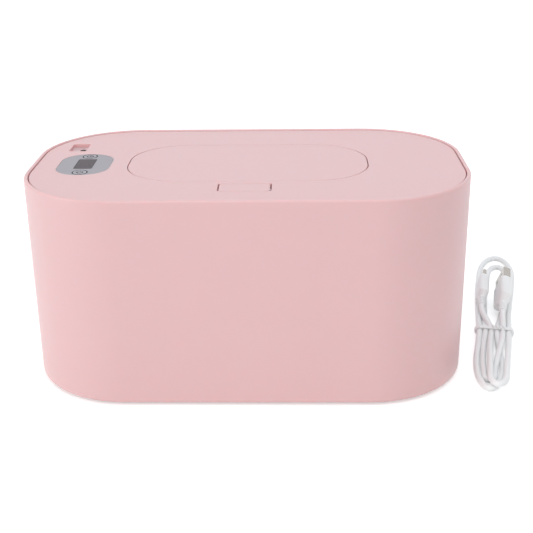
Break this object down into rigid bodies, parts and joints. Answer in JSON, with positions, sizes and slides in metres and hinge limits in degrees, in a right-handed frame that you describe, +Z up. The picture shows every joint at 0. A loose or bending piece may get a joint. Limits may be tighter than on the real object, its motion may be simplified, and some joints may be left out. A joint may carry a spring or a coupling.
{
  "type": "baby wipe warmer",
  "caption": "Tub with a lift-off heated cover, a flip lid with a push latch, a touch panel and a charging socket, and a loose charging cable.",
  "frame": {"origin": "under the middle of the case, on the surface that the feet stand on; the loose cable isn't counted", "axes": "+X along the case away from the control panel, +Y from the latch side to the hinge side, +Z up"},
  "size_m": [0.2771, 0.1919, 0.1057],
  "materials": {
    "pink_shell": "satin pale pink moulded plastic",
    "grey_rubber": "matt dark grey rubber",
    "white_plastic": "satin white moulded plastic",
    "silicone": "soft pale silicone",
    "zinc_steel": "zinc-plated",
    "heat_plate_aluminium": "brushed and clear anodised",
    "amber_film": "glossy amber film",
    "black_plastic": "matt black",
    "red_wire": "smooth wire insulation",
    "green_board": "green solder mask",
    "spring_steel": "bright spring wire",
    "plug_steel": "nickel-plated, drawn",
    "grey_panel": "fine matt printed film",
    "dark_window": "smoked window",
    "white_cable": "soft white cable sheath"
  },
  "bodies": {
    "tub": {"outer_case": "pink_shell", "rubber_feet": "grey_rubber", "cord_hank": "white_cable", "cord_lead_c": "white_cable", "cord_lead_a": "white_cable", "cable_tie": "white_cable", "usb_c_shell": "plug_steel", "usb_c_body": "white_cable", "usb_a_shell": "plug_steel", "usb_a_insert": "black_plastic", "usb_a_body": "white_cable"},
    "cover": {"top_cover": "pink_shell", "cover_tray": "white_plastic", "cover_seal": "silicone", "tray_screws": "zinc_steel", "outlet_mouth": "silicone", "heat_plate": "heat_plate_aluminium", "heater_film": "amber_film", "plate_screws": "zinc_steel", "temperature_sensor": "black_plastic", "thermal_cutout": "white_plastic", "heater_wires": "red_wire", "control_board": "green_board", "board_screws": "zinc_steel", "display_module": "black_plastic", "touch_springs": "spring_steel", "usb_c_socket": "plug_steel", "control_panel": "grey_panel", "display_window": "dark_window", "hinge_pin": "spring_steel", "lid_spring": "spring_steel", "latch_pin": "spring_steel", "latch_spring": "spring_steel"},
    "lid": {"flip_lid": "pink_shell", "lid_seal": "silicone"},
    "latch": {"latch_button": "pink_shell"}
  },
  "joints": [
    {"name": "cover_lift", "type": "slide", "parent": "tub", "child": "cover", "axis": [0, 0, 1], "range_m": [0, 0.06]},
    {"name": "lid_hinge", "type": "hinge", "parent": "cover", "child": "lid", "pos_m": [0, 0.0389, 0.1007], "axis": [-1, 0, 0], "range_deg": [0, 95], "deforming": ["lid_spring"]},
    {"name": "latch_press", "type": "hinge", "parent": "cover", "child": "latch", "pos_m": [0, -0.04, 0.1024], "axis": [1, 0, 0], "range_deg": [0, 7], "stiffness_Nm_per_rad": 0.15, "springref_deg": -2.86, "deforming": ["latch_spring"]}
  ]
}
